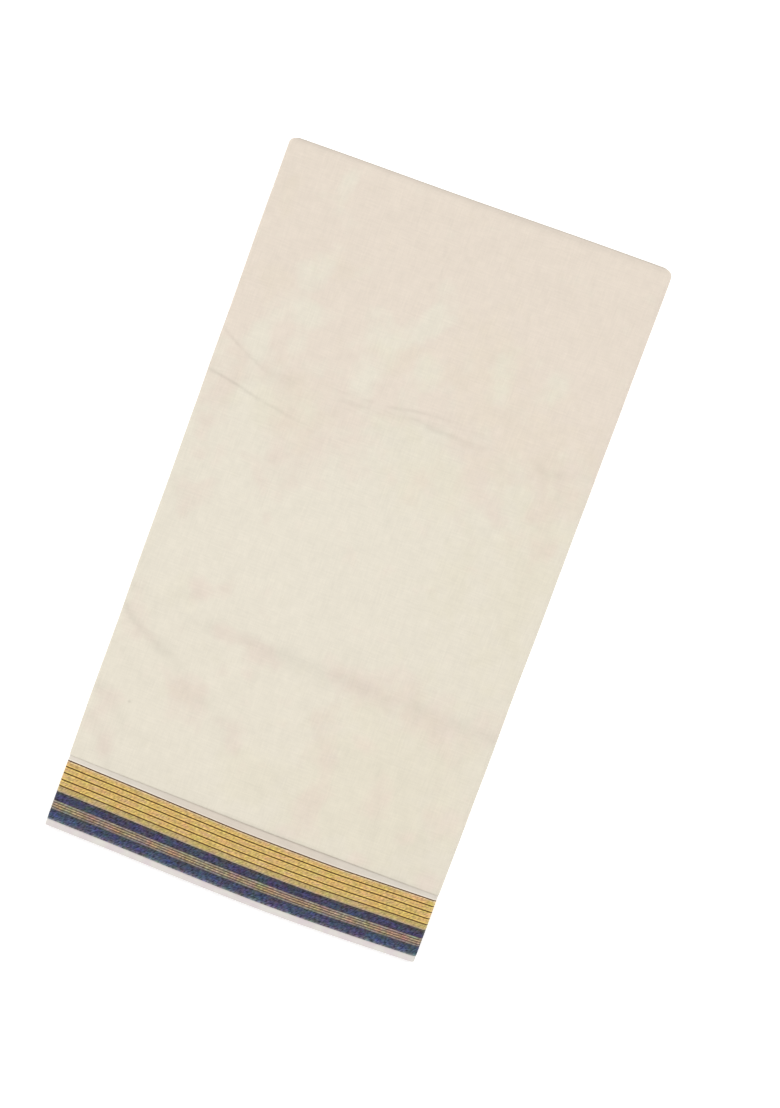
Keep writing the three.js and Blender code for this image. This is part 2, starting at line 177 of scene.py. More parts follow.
# A crease is a low step that runs through its points, each X, Y, height and width. As one walks along it, the
# cloth steps down to the right, and it levels out again over FAR on both sides. At the hem it fades out.
FAR = 50.0
CREASES_END = (-254, -244)
CREASES = [
    # Two sharp ones come in from the left side.
    [(-176, 143, 0.3, 1.2), (-167, 138.5, 0.35, 1.2), (-155, 131.3, 0.45, 1.1), (-148, 128, 0.25, 1.1),
     (-133, 121, 0.35, 1.3), (-122, 116, 0, 1.5)],
    [(-176, 104.2, 0.5, 1.1), (-166, 102.4, 0.7, 1.2), (-158, 101.2, 0.55, 1.1), (-149, 99.6, 0.65, 1.2),
     (-138, 97, 0.45, 1.1), (-129, 94.8, 0.55, 1.2), (-120, 93, 0.33, 1.2), (-106, 90.4, 0.38, 1.3),
     (-96, 88.9, 0.33, 1.3), (-80, 86, 0.2, 1.4), (-70, 84, 0, 1.5)],
    # A broken line across the middle.
    [(-134, 119, 0, 4), (-120, 118, 0.35, 4), (-104, 117, 0.6, 4), (-94, 116, 0, 4)],
    [(-70, 121, 0, 1.8), (-56, 123, 0.28, 1.6), (-44, 124, 0, 1.8)],
    [(-62, 116, 0, 2), (-50, 116.6, 0.45, 1.8), (-36, 117, 0.4, 1.8), (-28, 117, 0, 2)],
    [(-42, 120.5, 0, 1.4), (-33, 123.8, 0.3, 1.3), (-24, 125, 0, 1.4)],
    [(-19, 124.2, 0, 1.3), (-12, 125.4, 0.35, 1.3), (0, 128, 0.38, 1.3), (12, 129.5, 0.4, 1.3),
     (26, 130.8, 0.32, 1.3), (40, 131.3, 0.3, 1.4), (52, 130.5, 0, 1.6)],
    [(-34, 113.5, 0, 2.5), (-20, 117, 0.25, 2.2), (-8, 120, 0.3, 2.2), (6, 122, 0.25, 2.2)],
    [(2, 122, 0, 2.5), (16, 121.3, 0.6, 2.5), (28, 120, 0.8, 2.4), (42, 120, 0.7, 2.4),
     (56, 118.4, 0.5, 2.6), (66, 118, 0.45, 2.6), (76, 120.5, 0.3, 2.4), (84, 123, 0, 2.4)],
    [(56, 128, 0, 1.8), (66, 129, 0.25, 1.8), (76, 127.4, 0.25, 1.8), (88, 127, 0, 2)],
    [(108, 122, 0, 4), (120, 121.5, 0.4, 3.5), (127, 118.5, 0.7, 3.5), (134, 113, 0, 4)],
    [(132, 121, 0, 3), (139, 119.6, 0.8, 3), (148, 121, 0.35, 3), (158, 125.5, 0.4, 3),
     (166, 125.4, 0.35, 3), (178, 124, 0.3, 3)],
    [(124, 119, 0.2, 3), (130, 106, 0.5, 3), (135, 88, 0, 3.5)],
    [(141, 119, 0.2, 3), (146, 102, 0.5, 3), (148, 84, 0, 3.5)],
    # The broad one across the lower part.
    [(-178, -89, 0.5, 3), (-169, -91.5, 0.7, 3), (-160, -93.5, 0.6, 3.5), (-152, -96.5, 0.3, 4),
     (-142, -100.5, 0.55, 5), (-128, -101.5, 0.35, 5), (-112, -102.5, 0.5, 5), (-98, -103.5, 1.05, 5.5),
     (-85, -104, 1, 6), (-70, -104, 0.8, 6), (-57, -101.5, 1.2, 5), (-45, -103.5, 0.9, 6),
     (-30, -103, 1.65, 5.5), (-16, -105, 1.1, 6), (0, -104.5, 0.85, 6), (14, -105, 1, 6),
     (26, -105, 1.6, 6), (38, -105.5, 1.3, 6), (50, -105.5, 1.5, 5.5), (62, -107.5, 0.7, 6),
     (74, -109.5, 0.4, 7), (88, -107.5, 1.1, 7), (97, -107.5, 1.8, 6.5), (108, -110, 1.3, 7.5),
     (122, -109, 1.2, 7.5), (134, -109, 1.75, 7), (148, -110, 1.7, 7), (160, -109.5, 1.85, 6.5),
     (180, -109, 1.7, 6.5)],
    [(-66, -111, 0, 9), (-40, -112, 0.8, 9), (0, -112, 0.7, 9), (40, -113, 0.7, 9), (70, -115, 0.7, 8),
     (104, -117, 0.5, 8), (134, -119, 0, 8)],
    # Creases that fan out from the left side.
    [(-180, -101, 1, 2.5), (-168, -110, 1.25, 2.5), (-160, -117, 1.3, 3), (-150, -123.5, 1.2, 4),
     (-140, -128, 1.35, 5), (-128, -134.5, 1.85, 5), (-116, -138.5, 1.1, 6), (-106, -145, 1.1, 6),
     (-99, -153, 1.3, 7), (-88, -162, 1.4, 9), (-74, -166, 1, 8), (-62, -174, 0.9, 7), (-50, -183, 0.8, 7),
     (-38, -196, 0.7, 7), (-30, -208, 0, 8)],
    [(-176, -140, 0.2, 3), (-160, -145, 0.35, 3), (-152, -151, 0.45, 3), (-142, -158, 0.25, 4),
     (-130, -166, 0.35, 4), (-120, -172, 0, 5)],
    [(-180, -178, 1.1, 4), (-168, -181, 1.2, 4.5), (-158, -186, 0.9, 5), (-148, -193, 0.95, 5.5),
     (-138, -203, 0.85, 5.5), (-126, -213, 0.7, 6), (-116, -222, 0, 6)],
    [(-180, -203, 0.7, 4), (-168, -207, 0.8, 4), (-157, -213, 0.9, 4.5), (-148, -224, 1, 5),
     (-140, -234, 1.1, 5), (-134, -246, 0.7, 5)],
    # Slight ones that run down towards the hem.
    [(-45, -106, 0.5, 3), (-44, -120, 0.35, 2.5), (-43.5, -138, 0.35, 2.5), (-46, -152, 0.4, 2.5),
     (-52, -161, 0.25, 3), (-58, -170, 0, 3)],
    [(68, -112, 0.5, 4), (70, -125, 0.6, 4), (69, -138, 0.35, 4), (66, -146, 0, 4)],
    [(96, -110, 0.6, 4), (102, -124, 0.4, 4), (106, -138, 0.2, 4), (108, -150, 0, 4)],
    [(112, -114, 0.5, 4), (117, -130, 0.5, 4), (122, -148, 0, 4)],
    [(124, -118, 0.3, 3), (126.5, -138, 0.7, 3), (128, -146, 0.5, 3), (134, -164, 0.35, 4),
     (138, -180, 0, 4)],
    [(140, -114, 0.4, 4), (144, -134, 0.4, 4), (150, -152, 0, 4)],
    [(28, -138, 0, 7), (26, -150, 0.9, 8), (25, -162, 0.7, 8), (28, -176, 0, 8)],
    [(50, -150, 0.2, 3), (53, -166, 0.5, 3), (56, -178, 0.3, 3), (60, -190, 0, 4)],
    [(80, -156, 0, 3), (86, -176, 0.65, 3.5), (92, -196, 0.95, 4), (96, -212, 0.8, 4), (99, -232, 0.6, 4),
     (100, -250, 0.4, 4)],
    [(97, -148, 0, 3), (103, -168, 0.6, 3), (108, -184, 0.4, 4), (112, -200, 0, 4)],
    [(38, -170, 0, 6), (42, -182, 0.8, 7), (38, -192, 0.4, 7), (34, -204, 0.6, 7), (36, -216, 1, 9),
     (40, -232, 0.6, 8), (42, -250, 0.3, 8)],
    [(115, -182, 0, 3), (118, -204, 0.5, 3), (124, -224, 0.65, 3.5), (128, -250, 0.4, 4)],
    [(134, -178, 0, 3.5), (136, -204, 0.8, 4), (134, -220, 0.55, 4), (136, -250, 0.3, 4)],
    [(152, -172, 0, 4), (147, -190, 0.8, 4), (142, -206, 0, 4)],
    [(-30, -203, 0, 4), (-20, -216, 0.45, 3), (-6, -220, 0.35, 3), (6, -222, 0, 3)],
    [(-12, -199, 0, 3), (2, -204, 0.4, 3), (16, -212, 0, 3)],
    [(68, -60, 0, 3), (69, -72, 0.3, 3), (71, -94, 0, 3)],
    # Soft ones above the broad crease.
    [(-176, -64, 0.3, 4), (-156, -72, 0.35, 4), (-142, -80, 0, 4)],
    [(-142, -92, 0, 5), (-128, -86, 0.4, 5), (-110, -80, 0.5, 5), (-92, -76, 0, 5)],
    [(18, -92, 0, 4), (34, -86, 0.5, 5), (54, -94, 0, 5)],
    # The crease just inside the top fold.
    [(-60, 311.8, 0, 1.2), (0, 312.2, 0.1, 1.1), (90, 312.8, 0.14, 1.1), (178, 313.5, 0.16, 1.1)],
]

# Broad, shallow waves, so that the panel isn't dead flat: wave length, direction in degrees, height, phase.
WAVES = [
    (210, 25, 0.2, 0.4), (150, 98, 0.15, 2.1), (96, 152, 0.06, 4.4), (71, 61, 0.045, 1.3),
    (43, 118, 0.02, 5.2),
]


def between(points, smoothness=4):
    """More points on a smooth line through the points (Catmull-Rom)."""
    points = np.array(points, float)
    padded = np.concatenate([2 * points[:1] - points[1:2], points, 2 * points[-1:] - points[-2:-1]])
    made = []
    for i in range(1, len(padded) - 2):
        p, q, r, s = padded[i - 1 : i + 3]
        for t in np.arange(smoothness) / smoothness:
            square = (2 * p - 5 * q + 4 * r - s) * t**2
            cube = (3 * (q - r) + s - p) * t**3
            made.append(q + (r - p) * t / 2 + square / 2 + cube / 2)
    return np.array(made + [points[-1]])


def crease_step(crease, x, y):
    """Height and steepness that a crease gives the cloth at points X, Y."""
    course = between(crease)
    start, run = course[:-1, :2], np.diff(course[:, :2], axis=0)
    across_x, across_y = x[:, None] - start[:, 0], y[:, None] - start[:, 1]
    share = np.clip((across_x * run[:, 0] + across_y * run[:, 1]) / (run**2).sum(axis=1), 0, 1)
    away_x, away_y = across_x - share * run[:, 0], across_y - share * run[:, 1]
    nearest = np.hypot(away_x, away_y).argmin(axis=1)
    pick = np.arange(len(x)), nearest
    side = np.sign(run[nearest, 1] * away_x[pick] - run[nearest, 0] * away_y[pick])
    ends = course[nearest] + (course[nearest + 1] - course[nearest]) * share[pick][:, None]
    drop, width = np.maximum(ends[:, 2], 0), ends[:, 3]
    distance = side * np.hypot(away_x[pick], away_y[pick])
    height = -drop / 2 * np.tanh(distance / width) * np.exp(-np.abs(distance) / FAR)
    return height, drop / (2 * width) / np.cosh(np.clip(distance / width, -20, 20)) ** 2


def creased(x, y):
    """Height of the top ply over its plane, and how steep its creases are."""
    shape = x.shape
    x, y = x.ravel(), y.ravel()
    height, steepness = np.zeros_like(x), np.zeros_like(x)
    for length, degrees, amount, phase in WAVES:
        turn = math.radians(degrees)
        height += amount * np.sin(2 * math.pi * (x * math.cos(turn) + y * math.sin(turn)) / length + phase)
    for crease in CREASES:
        points = np.array(crease)[:, :2]
        low, high = points.min(axis=0) - 3 * FAR, points.max(axis=0) + 3 * FAR
        close = (x > low[0]) & (x < high[0]) & (y > low[1]) & (y < high[1])
        step_height, step_steepness = crease_step(crease, x[close], y[close])
        height[close] += step_height
        steepness[close] += step_steepness
    return (height * smooth_step(y, *CREASES_END)).reshape(shape), steepness.reshape(shape)


# Patches of colour: X, Y, half width, half height, how much rosier. Below 0 is creamier.
PATCHES = [
    (-114, 284, 9, 28, -0.65), (-112, 214, 16, 17, -0.7), (-108, 176, 17, 15, -0.85),
    (-110, 150, 12, 14, -0.5), (-138, 155, 12, 34, -0.7), (-129, 92, 17, 20, -0.7), (-42, 170, 24, 28, -0.6),
    (-22, 188, 26, 12, -0.4), (0, 218, 14, 26, -0.7), (-12, 200, 12, 10, -0.3), (4, 162, 16, 16, -0.95),
    (-44, 140, 14, 14, -0.5), (15, 102, 32, 20, -0.7), (67, 180, 14, 24, -0.85), (112, 188, 12, 18, -0.8),
    (112, 88, 15, 12, -0.6), (145, 72, 14, 10, -0.4), (-85, 44, 20, 28, 0.5), (-98, 30, 12, 10, 0.2),
    (-62, 74, 18, 20, 0.4), (95, 78, 14, 12, 0.4), (148, 46, 14, 18, 0.4), (138, 84, 18, 14, 0.55),
    (-156, 90, 13, 14, 0.45), (-52, 106, 26, 9, 0.3), (-145, 0, 17, 14, 0.65), (-152, -22, 14, 10, 0.35),
    (-158, 58, 10, 11, 0.5), (-157, 28, 10, 8, 0.4), (-137, 35, 8, 8, 0.4), (-80, 0, 8, 8, 0.4),
    (-5, -3, 8, 8, 0.4), (100, 22, 8, 8, 0.4), (-114, -74, 14, 11, 0.6), (-95, -72, 12, 10, 0.55),
    (-78, -103, 18, 9, 0.7), (66, -86, 12, 9, 0.5), (72, 92, 12, 9, 0.35), (-44, -110, 25, 12, 0.7),
    (-158, -117, 11, 22, 0.6), (-142, -131, 14, 9, 0.55), (30, -101, 19, 14, 0.7), (62, -107, 22, 14, 0.75),
    (96, -108, 22, 22, 0.8), (44, -115, 13, 9, 0.5), (130, -122, 23, 17, 0.8), (160, -100, 16, 15, 0.7),
    (-92, -167, 22, 21, 0.75), (-43, -183, 13, 15, 0.8), (27, -152, 15, 22, 0.75), (42, -181, 11, 15, 0.75),
    (38, -222, 16, 27, 0.75), (90, -187, 11, 22, 0.75), (146, -192, 16, 17, 0.7), (155, -240, 13, 14, 0.65),
    (-152, -187, 16, 10, 0.65), (-142, -228, 11, 11, 0.6), (-160, -211, 11, 16, 0.65),
    (24, -244, 14, 7, 0.45), (91, -244, 14, 7, 0.5), (158, -244, 12, 7, 0.4), (62, -150, 9, 8, 0.5),
    (-48, -132, 9, 8, 0.5), (126, -214, 9, 9, 0.5),
]

# Broad places where the cotton is a little yellower, in the same way.
STRAW = [
    (-157, 262, 9, 28, 0.6), (-95, 222, 26, 12, 0.6), (-146, 190, 22, 18, 0.6), (-96, 95, 42, 30, 0.9),
    (-20, 166, 32, 16, 0.8), (-6, 112, 26, 12, 0.7), (36, 76, 44, 32, 0.8), (48, 188, 38, 46, 0.7),
    (112, 134, 58, 48, 0.7), (85, 4, 20, 46, 0.7), (142, 50, 34, 50, 0.8), (142, -28, 30, 48, 0.6),
    (90, -160, 78, 76, 0.8), (60, -215, 100, 40, 0.5), (-26, -213, 24, 26, 0.7), (-128, -86, 20, 20, 0.5),
    (-94, -165, 22, 16, 0.4),
]

# Slightly darker places: X, Y, half width, half height, how much. Below 0 is lighter. Most are painted shade:
# the shadow under the hem, the left edge, the top fold and soft hollows. The last is a dirt speck.
SHADE_AND_SOIL_SPOTS = [
    (-92, -164, 16, 14, 0.01), (-50, -184, 16, 12, 0.007), (27, -152, 10, 17, 0.012),
    (42, -183, 13, 10, 0.012), (36, -217, 13, 14, 0.012), (-5, -208, 26, 12, 0.008),
    (66, -198, 12, 8, 0.006), (150, -215, 18, 26, 0.008), (120, -150, 30, 22, 0.006),
    (95, -92, 10, 12, 0.01), (-152, -186, 12, 7, 0.008), (-104, 117, 14, 5, 0.01), (128, 118, 14, 5, 0.01),
    (98, 40, 10, 44, 0.008), (142, 40, 15, 58, 0.008), (-148, -10, 22, 26, 0.006), (-150, 44, 9, 40, 0.006),
    (-164, -10, 12, 125, 0.012), (-158, 98, 18, 20, 0.012), (-118, 108, 26, 12, 0.014),
    (2, 104, 26, 12, 0.016), (48, 108, 18, 10, 0.016), (113, 107, 15, 10, 0.008), (70, 92, 14, 9, 0.009),
    (-90, 34, 12, 26, 0.009), (-135, -2, 14, 14, 0.007), (0, -4, 10, 8, 0.009), (68, -4, 10, 8, 0.009),
    (0, -52, 10, 9, 0.009), (96, -84, 80, 10, 0.006), (0, -87, 26, 9, 0.009), (160, -86, 14, 10, 0.009),
    (-10, 300, 175, 13, 0.006), (60, 300, 110, 12, 0.004), (-24, 284, 24, 10, 0.007),
    (160, 288, 16, 18, 0.01), (150, 222, 22, 24, 0.008), (-112, 205, 12, 10, 0.011), (0, 172, 12, 10, 0.011),
    (0, 213, 12, 14, 0.009), (-90, -182, 16, 9, 0.008), (-66, -180, 10, 8, 0.009),
    (-90, -229, 20, 10, 0.009), (6, -231, 28, 9, 0.009), (-66, -245, 24, 6, 0.008),
    (-45, 172, 14, 9, -0.009), (91, -138, 14, 16, -0.008), (23, -132, 16, 9, -0.007),
    (-72, 56, 22, 34, 0.006), (-36, 62, 13, 22, 0.006), (122, -60, 48, 36, 0.005),
    (-155, 288, 16, 26, 0.008), (60, 314, 130, 6, 0.018), (-80, -241, 45, 12, 0.008),
    (55, -240, 65, 14, 0.01), (-12, -249, 62, 2, 0.055), (0, -244, 165, 7, 0.008),
    (-136.5, -186, 1.3, 1.3, 0.16),
]


def spots(table, x, y):
    """The sum of soft oval spots at points X, Y."""
    total = np.zeros_like(x)
    for middle_x, middle_y, half_width, half_height, amount in table:
        away = ((x - middle_x) / half_width) ** 2 + ((y - middle_y) / half_height) ** 2
        total += amount * np.exp(-(away**1.5))
    return total


# How much a crease's steepness darkens the cloth: painted shade in the creases.
CREASE_SHADE = 0.27

# Creases press through to the plies below, down to this pass.
RELIEF_PASSES = 7.0

# Away from its edges the stack's plies lie a little lower than at them, clear of the top ply.
INNER_SAG = 0.6

# The plies don't lie evenly: they bunch and part by this share of a pass, over this many passes.
BUNCHING = 0.25
BUNCH_PASSES = 5.5

# The folds stand out unevenly: how far, and over how much of each side.
SIDE_STRAY = 0.5
STRAY_REACH = 8

# ---- The ribbon's way through the stack ----

# Folds are squarer than half circles: 2 would be round.
FOLD_SQUARENESS = 2.7

# The folds that wrap each other round a side: the passes they join, their inset, and how far they reach in.
SPINE = dict(first=0, last=15, inset=0.0, reach=5.2)
BUNDLES = [
    dict(first=0, last=7, inset=0.0, reach=3.4),
    dict(first=8, last=11, inset=0.5, reach=2.2),
    dict(first=12, last=13, inset=1.1, reach=1.2),
]
OPEN_END_INSETS = {14: 0.7, 15: 1.6}


def bundle_of(a_pass):
    """The left bundle that holds a pass, or None at an open end."""
    return next((bundle for bundle in BUNDLES if bundle["first"] <= a_pass <= bundle["last"]), None)


def folding_order():
    """The passes in the order in which the cloth runs through them, from one open end to the other."""
    order = [min(OPEN_END_INSETS)]
    bundle = SPINE
    while bundle:
        order.append(bundle["first"] + bundle["last"] - order[-1])
        bundle = SPINE if len(order) % 2 else bundle_of(order[-1])
    return order


def left_start(a_pass):
    """How far from the left side a pass's flat run starts."""
    bundle = bundle_of(a_pass)
    return OPEN_END_INSETS[a_pass] if bundle is None else bundle["inset"] + bundle["reach"]


def graded(stops):
    """Places from stretches given as (from, to, step)."""
    places = []
    for start, end, step in stops:
        places += list(np.linspace(start, end, max(round(abs(end - start) / step), 1), endpoint=False))
    return places + [stops[-1][1]]


def flat_run(a_pass, direction, places):
    """Columns along a pass, at places across from 0 (left) to 1 (right). direction is 1 towards the spine."""
    run = dict(side=0, turn=0, half=0, middle=0, reach=0, share=0, start=left_start(a_pass))
    run.update(level=a_pass + 0.5, sign=-direction, passes=(a_pass, a_pass))
    return [dict(run, across=place) for place in places]


def fold(side, first, last, steps):
    """Columns round the fold from pass `first` to pass `last`, without the ends that the flat runs hold."""
    bundle = SPINE if side > 0 else bundle_of(first)
    down = first < last
    half = (bundle["last"] - bundle["first"] + 1) / 2
    bend = dict(side=side, across=float(side > 0), half=half, middle=bundle["first"] + half)
    bend.update(level=min(first, last) - bundle["first"] + 0.5, sign=-1 if down == (side > 0) else 1)
    bend.update(start=bundle["inset"], reach=bundle["reach"], passes=(first, last))
    columns = []
    for step in range(1, steps):
        turn = math.pi / 2 - math.pi * (step / steps)
        columns.append(dict(bend, turn=turn if down else -turn, share=step / steps))
    return columns


HIDDEN_PLACES = [0, 0.02, 0.05, 0.09, 0.15, 0.24, 0.36, 0.5, 0.65, 0.8, 0.92, 0.98, 1]
HIDDEN_FOLD_STEPS = 8


def whole_ribbon():
    """Columns of every pass and fold, in order, each run in a list of its own."""
    order = folding_order()
    runs = []
    for index, a_pass in enumerate(order):
        direction = 1 if index % 2 == 0 else -1
        runs.append(flat_run(a_pass, direction, HIDDEN_PLACES[::direction]))
        if index + 1 < len(order):
            runs.append(fold(direction, a_pass, order[index + 1], HIDDEN_FOLD_STEPS))
    return runs


# How much of a pass the outermost ply's tucked ends take, as a share.
OVERLAP = 0.05

# Stretches of the top ply across its width: from, to, and the distance between columns, as a share.
TOP_STRETCHES = [(0.0, 0.02, 0.005), (0.02, 0.2, 0.0036), (0.2, 0.98, 0.0085), (0.98, 1.0, 0.005)]


def outermost_columns():
    """Columns of what shows: from under the top bundle, over the top, round the spine, in under the stack."""
    columns = flat_run(7, -1, [OVERLAP, OVERLAP / 2, 0])
    columns += fold(-1, 7, 0, 14)
    columns += flat_run(0, 1, graded(TOP_STRETCHES))
    columns += fold(1, 0, 15, 18)
    columns += flat_run(15, -1, [1, 1 - OVERLAP / 2, 1 - OVERLAP])
    return columns


# The ribbon's last runs: the fold into the top pass, that pass, the spine, and the bottom pass.
OUTER_RUNS = 4


def hidden_strips():
    """Columns of all that the outermost ply hides, as two strips. Each starts or ends where that ply does."""
    inner = [column for run in whole_ribbon()[:-OUTER_RUNS] for column in run]
    while inner[-1]["across"] < OVERLAP:
        inner.pop()
    underside = flat_run(15, -1, np.linspace(1 - OVERLAP, 0, 12))
    return [inner, underside]


# How far passes stop short at each edge of the stack, at most, and how that turns from pass to pass.
SHORTFALLS = {"top": (1.1, 2.4), "hem": (3.0, 1.9), "end": (2.4, 1.35)}


def shortfall(a_pass, edge):
    """How far a pass stops short at an edge: by its own amount, and the top pass only at the top fold."""
    if a_pass == 0:
        return -0.5 if edge == "top" else 0.0
    most, turn = SHORTFALLS[edge]
    return most / 2 * (1 + math.sin(a_pass * turn + 1.0))


def column_falls(column, edge):
    first, last = (shortfall(p, edge) for p in column["passes"])
    return first + (last - first) * column["share"]


# ---- Rows across the cloth's width ----

# How far a ply's middle lies from its pass's middle, and the same where the turned-under border lies between.
PLY_OFFSET = 0.25
HEM_PLY_OFFSET = 0.33
OFFSET_CHANGE = (-195, -180)
LOWER_PLY_START = 26.0
TURNED_UNDER = 55.0
FOLD_REACH = 0.8
HEM_REACH = 0.5

# How far the top hem stands off the border under it: the place across, and millimetres.
HEM_LIFT = smooth_curve(
    [(0, 0.2), (0.12, 0.35), (0.3, 0.55), (0.6, 1.3), (0.76, 1.55), (0.88, 1.15), (1, 0.2)]
)
HEM_LIFT_REACH = 11.0
HEM_DROOP = 0.65
HEM_DROOP_REACH = 3.2


def row(line, offset, woven, top=0.0, hem=0.0, end=0.0, lift=0.0):
    """One row: line, offset from its pass's middle, woven place, and shares of the shortfalls and lift."""
    return dict(line=line, offset=offset, woven=woven, top=top, hem=hem, end=end, lift=lift)


def ply_offset(y):
    return PLY_OFFSET + (HEM_PLY_OFFSET - PLY_OFFSET) * (1 - smooth_step(y, *OFFSET_CHANGE))


MIDDLE_TOP = top_line(0.5)
MIDDLE_HEM = float(hem_line(0.5))
LOWER_PLY_LAST = float(gold_line(0.5)) + LOWER_PLY_START


def body_line(y):
    """The line across the panel through Y in the middle. Near the top fold and the hem it follows them."""
    share = (y - MIDDLE_HEM) / (MIDDLE_TOP - MIDDLE_HEM)
    return lambda across: hem_line(across) * (1 - share) + top_line(across) * share


# Stretches of rows up the panel, and back down behind it: from, to, and the distance between rows.
FINE_ROWS = [
    (MIDDLE_HEM + HEM_REACH, -244, 0.7), (-244, -190, 3.2), (-190, -183, 0.8), (-183, -128, 2.2),
    (-128, -90, 1.5), (-90, -60, 3), (-60, 80, 10), (80, 86, 1), (86, 104, 0.65), (104, 116, 1.2),
    (116, 139, 0.75), (139, 150, 2.2), (150, 300, 11), (300, 309, 2), (309, MIDDLE_TOP - FOLD_REACH, 0.6),
]
COARSE_ROWS = [
    (MIDDLE_HEM + HEM_REACH, -240, 3), (-240, -210, 10), (-210, -90, 6), (-90, 290, 20),
    (290, MIDDLE_TOP - FOLD_REACH, 4),
]
RETURN_ROWS = [(MIDDLE_TOP - 4, 290, 5), (290, -215, 24)]
TURNED_UNDER_ROWS = (TURNED_UNDER, 38, 24, 14, 8, 4, 2, 1)

# How far in from the top fold and from the hem the passes stop short unevenly.
TOP_UNEVEN = 20
HEM_UNEVEN = 30


def near(y, place, reach):
    return max(0.0, 1 - abs(y - place) / reach)


def hem_lift(distance):
    """Share of the hem's lift at a distance from it. It eases off inwards, and the edge itself turns down."""
    return math.exp(-distance / HEM_LIFT_REACH) - HEM_DROOP * math.exp(-distance / HEM_DROOP_REACH)


def hem_rows(lift):
    """Rows of the turned-under end, and round the hem."""
    rows = []
    for back in TURNED_UNDER_ROWS:
        line, hem = body_line(MIDDLE_HEM + back), near(back, 0, HEM_UNEVEN)
        rows.append(row(line, 0.0, MIDDLE_HEM - back, hem=hem, lift=lift * hem_lift(back)))
    for degrees in (0, 45, 90, 135):
        turn = math.radians(degrees)
        rise = (1 - math.cos(turn)) / 2
        ahead = HEM_REACH * (1 - math.sin(turn))
        line = body_line(MIDDLE_HEM + ahead)
        share = lift * hem_lift(ahead)
        rows.append(row(line, HEM_PLY_OFFSET * rise, MIDDLE_HEM + ahead, hem=1.0, lift=share))
    return rows


def body_rows(stops, lift):
    """Rows of the body: the turned-under end, round the hem, up the panel, over the top fold and down."""
    rows = hem_rows(lift)
    for y in graded(stops):
        top, hem = near(y, MIDDLE_TOP, TOP_UNEVEN), near(y, MIDDLE_HEM, HEM_UNEVEN)
        share = lift * hem_lift(y - MIDDLE_HEM)
        rows.append(row(body_line(y), ply_offset(y), y, top=top, hem=hem, lift=share))
    for degrees in (30, 60, 90, 120, 150, 180):
        turn = math.radians(degrees)
        back = FOLD_REACH * (1 - math.sin(turn))
        woven = MIDDLE_TOP + degrees / 180
        rows.append(row(body_line(MIDDLE_TOP - back), PLY_OFFSET * math.cos(turn), woven, top=1.0))
    for y in graded(RETURN_ROWS):
        top = near(y, MIDDLE_TOP, TOP_UNEVEN)
        rows.append(row(body_line(y), -ply_offset(y), 2 * MIDDLE_TOP + 1 - y, top=top))
    last = row(border_line(-LOWER_PLY_START), -HEM_PLY_OFFSET, 2 * MIDDLE_TOP + 1 - LOWER_PLY_LAST)
    return rows + [last]


# Over these woven distances the border comes to lie in the middle of its pass.
BORDER_SETTLES = (-6, 14)
END_UNEVEN_START = 10


def border_rows(start, end, step):
    """Rows of the lower ply, from one woven distance to another. Above the gold the distance is negative."""
    count = max(round((end - start) / step), 1)
    rows = []
    for woven in np.linspace(start, end, count + 1):
        offset = -HEM_PLY_OFFSET * (1 - smooth_step(woven, *BORDER_SETTLES))
        uneven = max(0.0, (woven - END_UNEVEN_START) / (BORDER_WIDTH - END_UNEVEN_START))
        rows.append(row(border_line(woven), offset, woven, end=uneven))
    return rows


# ---- Meshes ----


def by_column(columns, key):
    return np.array([column[key] for column in columns], float)[None, :]


def by_row(rows, key):
    return np.array([row_[key] for row_ in rows])[:, None]


def line_places(rows, columns):
    """Y of each point: its line, less what its pass stops short there."""
    across = by_column(columns, "across")
    lines = np.array([row_["line"](across[0]) for row_ in rows])
    falls = ([column_falls(column, edge) for column in columns] for edge in SHORTFALLS)
    top, hem, end = (by_row(rows, edge) * np.array(fall)[None, :] for edge, fall in zip(SHORTFALLS, falls))
    uneven = 1 + 0.35 * np.sin(across * 9 + by_column(columns, "level") * 1.7)
    return lines - top * uneven + hem + end * uneven


def stacked(rows, columns, y):
    """X and Z of each point in an even stack. Where the stack is thinner, its folds reach less far."""
    height = stack_height(y)
    pitch = height / PASSES
    level = by_column(columns, "level") + by_column(columns, "sign") * by_row(rows, "offset")
    side, half, turn, start = (by_column(columns, key) for key in ("side", "half", "turn", "start"))
    squeeze = 0.5 + 0.5 * height / FULL_HEIGHT
    left_edge, right_edge = left_side(y), right_side(y)

    power = 2 / FOLD_SQUARENESS
    outward = np.abs(np.cos(turn)) ** power
    upward = np.sign(np.sin(turn)) * np.abs(np.sin(turn)) ** power
    reach = by_column(columns, "reach") * squeeze
    round_share = 1 - level / np.where(half > 0, half, 1)
    left_x = left_edge + start + reach - reach * round_share * outward
    right_x = right_edge - reach + reach * round_share * outward
    fold_z = height - by_column(columns, "middle") * pitch + (half - level) * pitch * upward

    flat_left = left_edge + np.where(start > max(OPEN_END_INSETS.values()), start * squeeze, start)
    flat_right = right_edge - SPINE["reach"] * squeeze
    flat_x = flat_left + (flat_right - flat_left) * by_column(columns, "across")
    flat_z = height - level * pitch
    x = np.where(side == 0, flat_x, np.where(side > 0, right_x, left_x))
    return x, np.where(side == 0, flat_z, fold_z)


